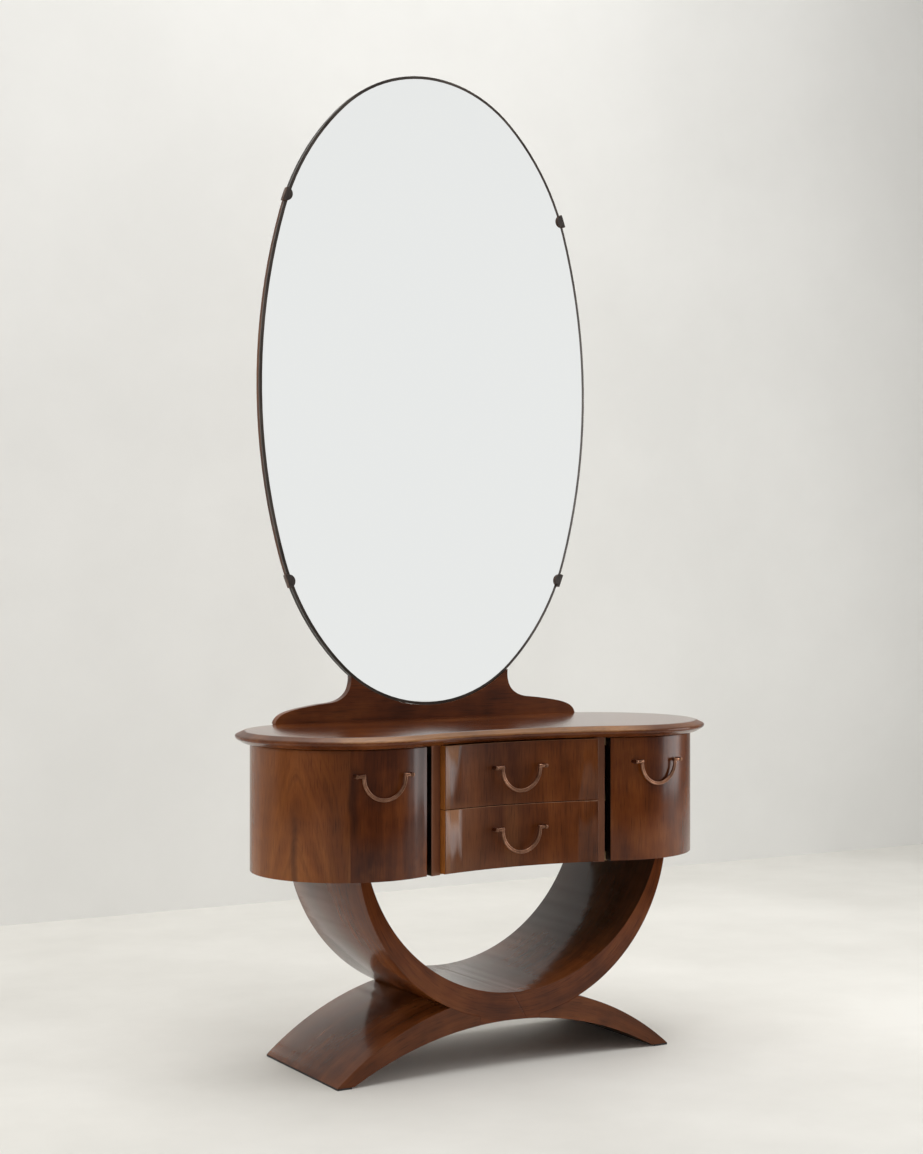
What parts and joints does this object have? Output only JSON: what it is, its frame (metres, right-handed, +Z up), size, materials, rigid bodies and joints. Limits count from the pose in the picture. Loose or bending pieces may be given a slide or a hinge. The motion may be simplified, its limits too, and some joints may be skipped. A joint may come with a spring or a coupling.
{
  "type": "dressing table",
  "caption": "Dressing table with two drawers between round-ended cupboards, a ring and arch pedestal and a tall oval mirror in a wooden rail.",
  "frame": {"origin": "on the floor, under the middle of the table top", "axes": "+Z up, -Y towards the person who sits at it, +X to the right seen from the front"},
  "size_m": [0.922, 0.386, 1.8],
  "materials": {
    "veneer": "walnut veneer, satin lacquer",
    "top_veneer": "walnut veneer, glossy lacquer",
    "frame_wood": "walnut, satin lacquer",
    "pedestal_wood": "walnut veneer, satin lacquer",
    "rail_wood": "walnut, satin lacquer",
    "inner_wood": "plain hardwood, thin lacquer",
    "plywood": "stained plywood",
    "mirror_glass": "silvered plate glass",
    "pad_rubber": "dark rubber",
    "handle_brass": "aged coppery brass",
    "hinge_brass": "dull brass",
    "steel": "plain steel",
    "catch_plastic": "brown moulded housing"
  },
  "bodies": {
    "root": {"table_top": "top_veneer", "left_divider": "frame_wood", "right_divider": "frame_wood", "left_rear_corner": "frame_wood", "right_rear_corner": "frame_wood", "ring_left_half": "pedestal_wood", "ring_right_half": "pedestal_wood", "left_foot": "pedestal_wood", "right_foot": "pedestal_wood", "mirror_rail": "rail_wood", "upper_left_clip": "rail_wood", "upper_right_clip": "rail_wood", "lower_left_clip": "rail_wood", "lower_right_clip": "rail_wood", "sub_top": "inner_wood", "case_bottom": "inner_wood", "dust_board": "inner_wood", "left_shelf": "inner_wood", "right_shelf": "inner_wood", "drawer_stops": "inner_wood", "shelf_pins": "inner_wood", "rail_dowels": "inner_wood", "back_panel": "plywood", "mirror_board": "plywood", "mirror_glass": "mirror_glass", "left_foot_pad": "pad_rubber", "right_foot_pad": "pad_rubber", "case_hinge_leaves": "hinge_brass", "hinge_pins": "hinge_brass", "mirror_straps": "steel", "strap_screws": "steel", "clip_screws": "steel", "top_screws": "steel", "ring_screws": "steel", "door_catches": "catch_plastic"},
    "left_door": {"left_door": "veneer", "left_door_posts": "handle_brass", "left_door_hinge_leaves": "hinge_brass", "left_door_strike": "steel"},
    "right_door": {"right_door": "veneer", "right_door_posts": "handle_brass", "right_door_hinge_leaves": "hinge_brass", "right_door_strike": "steel"},
    "upper_drawer": {"upper_drawer_front": "veneer", "upper_drawer_left_side": "inner_wood", "upper_drawer_right_side": "inner_wood", "upper_drawer_bottom": "plywood", "upper_drawer_back": "inner_wood", "upper_drawer_posts": "handle_brass"},
    "lower_drawer": {"lower_drawer_front": "veneer", "lower_drawer_left_side": "inner_wood", "lower_drawer_right_side": "inner_wood", "lower_drawer_bottom": "plywood", "lower_drawer_back": "inner_wood", "lower_drawer_posts": "handle_brass"},
    "left_door_handle": {"left_door_bail": "handle_brass"},
    "right_door_handle": {"right_door_bail": "handle_brass"},
    "upper_drawer_handle": {"upper_drawer_bail": "handle_brass"},
    "lower_drawer_handle": {"lower_drawer_bail": "handle_brass"}
  },
  "joints": [
    {"name": "left_door_hinge", "type": "hinge", "parent": "root", "child": "left_door", "pos_m": [-0.35355, 0.14818, 0.457], "axis": [0, 0, -1], "range_deg": [0, 95]},
    {"name": "right_door_hinge", "type": "hinge", "parent": "root", "child": "right_door", "pos_m": [0.35355, 0.14818, 0.457], "axis": [0, 0, 1], "range_deg": [0, 95]},
    {"name": "upper_drawer_slide", "type": "slide", "parent": "root", "child": "upper_drawer", "axis": [0, -1, 0], "range_m": [0, 0.2]},
    {"name": "lower_drawer_slide", "type": "slide", "parent": "root", "child": "lower_drawer", "axis": [0, -1, 0], "range_m": [0, 0.2]},
    {"name": "upper_drawer_bail_swing", "type": "hinge", "parent": "upper_drawer", "child": "upper_drawer_handle", "pos_m": [0, -0.15095, 0.5245], "axis": [-1, 0, 0], "range_deg": [-9, 95]},
    {"name": "lower_drawer_bail_swing", "type": "hinge", "parent": "lower_drawer", "child": "lower_drawer_handle", "pos_m": [0, -0.15095, 0.417], "axis": [-1, 0, 0], "range_deg": [-9, 95]},
    {"name": "left_door_bail_swing", "type": "hinge", "parent": "left_door", "child": "left_door_handle", "pos_m": [-0.27984, -0.16937, 0.5245], "axis": [-0.9976, 0.0698, 0], "range_deg": [0, 95]},
    {"name": "right_door_bail_swing", "type": "hinge", "parent": "right_door", "child": "right_door_handle", "pos_m": [0.27984, -0.16937, 0.5245], "axis": [-0.9976, -0.0698, 0], "range_deg": [0, 95]}
  ]
}
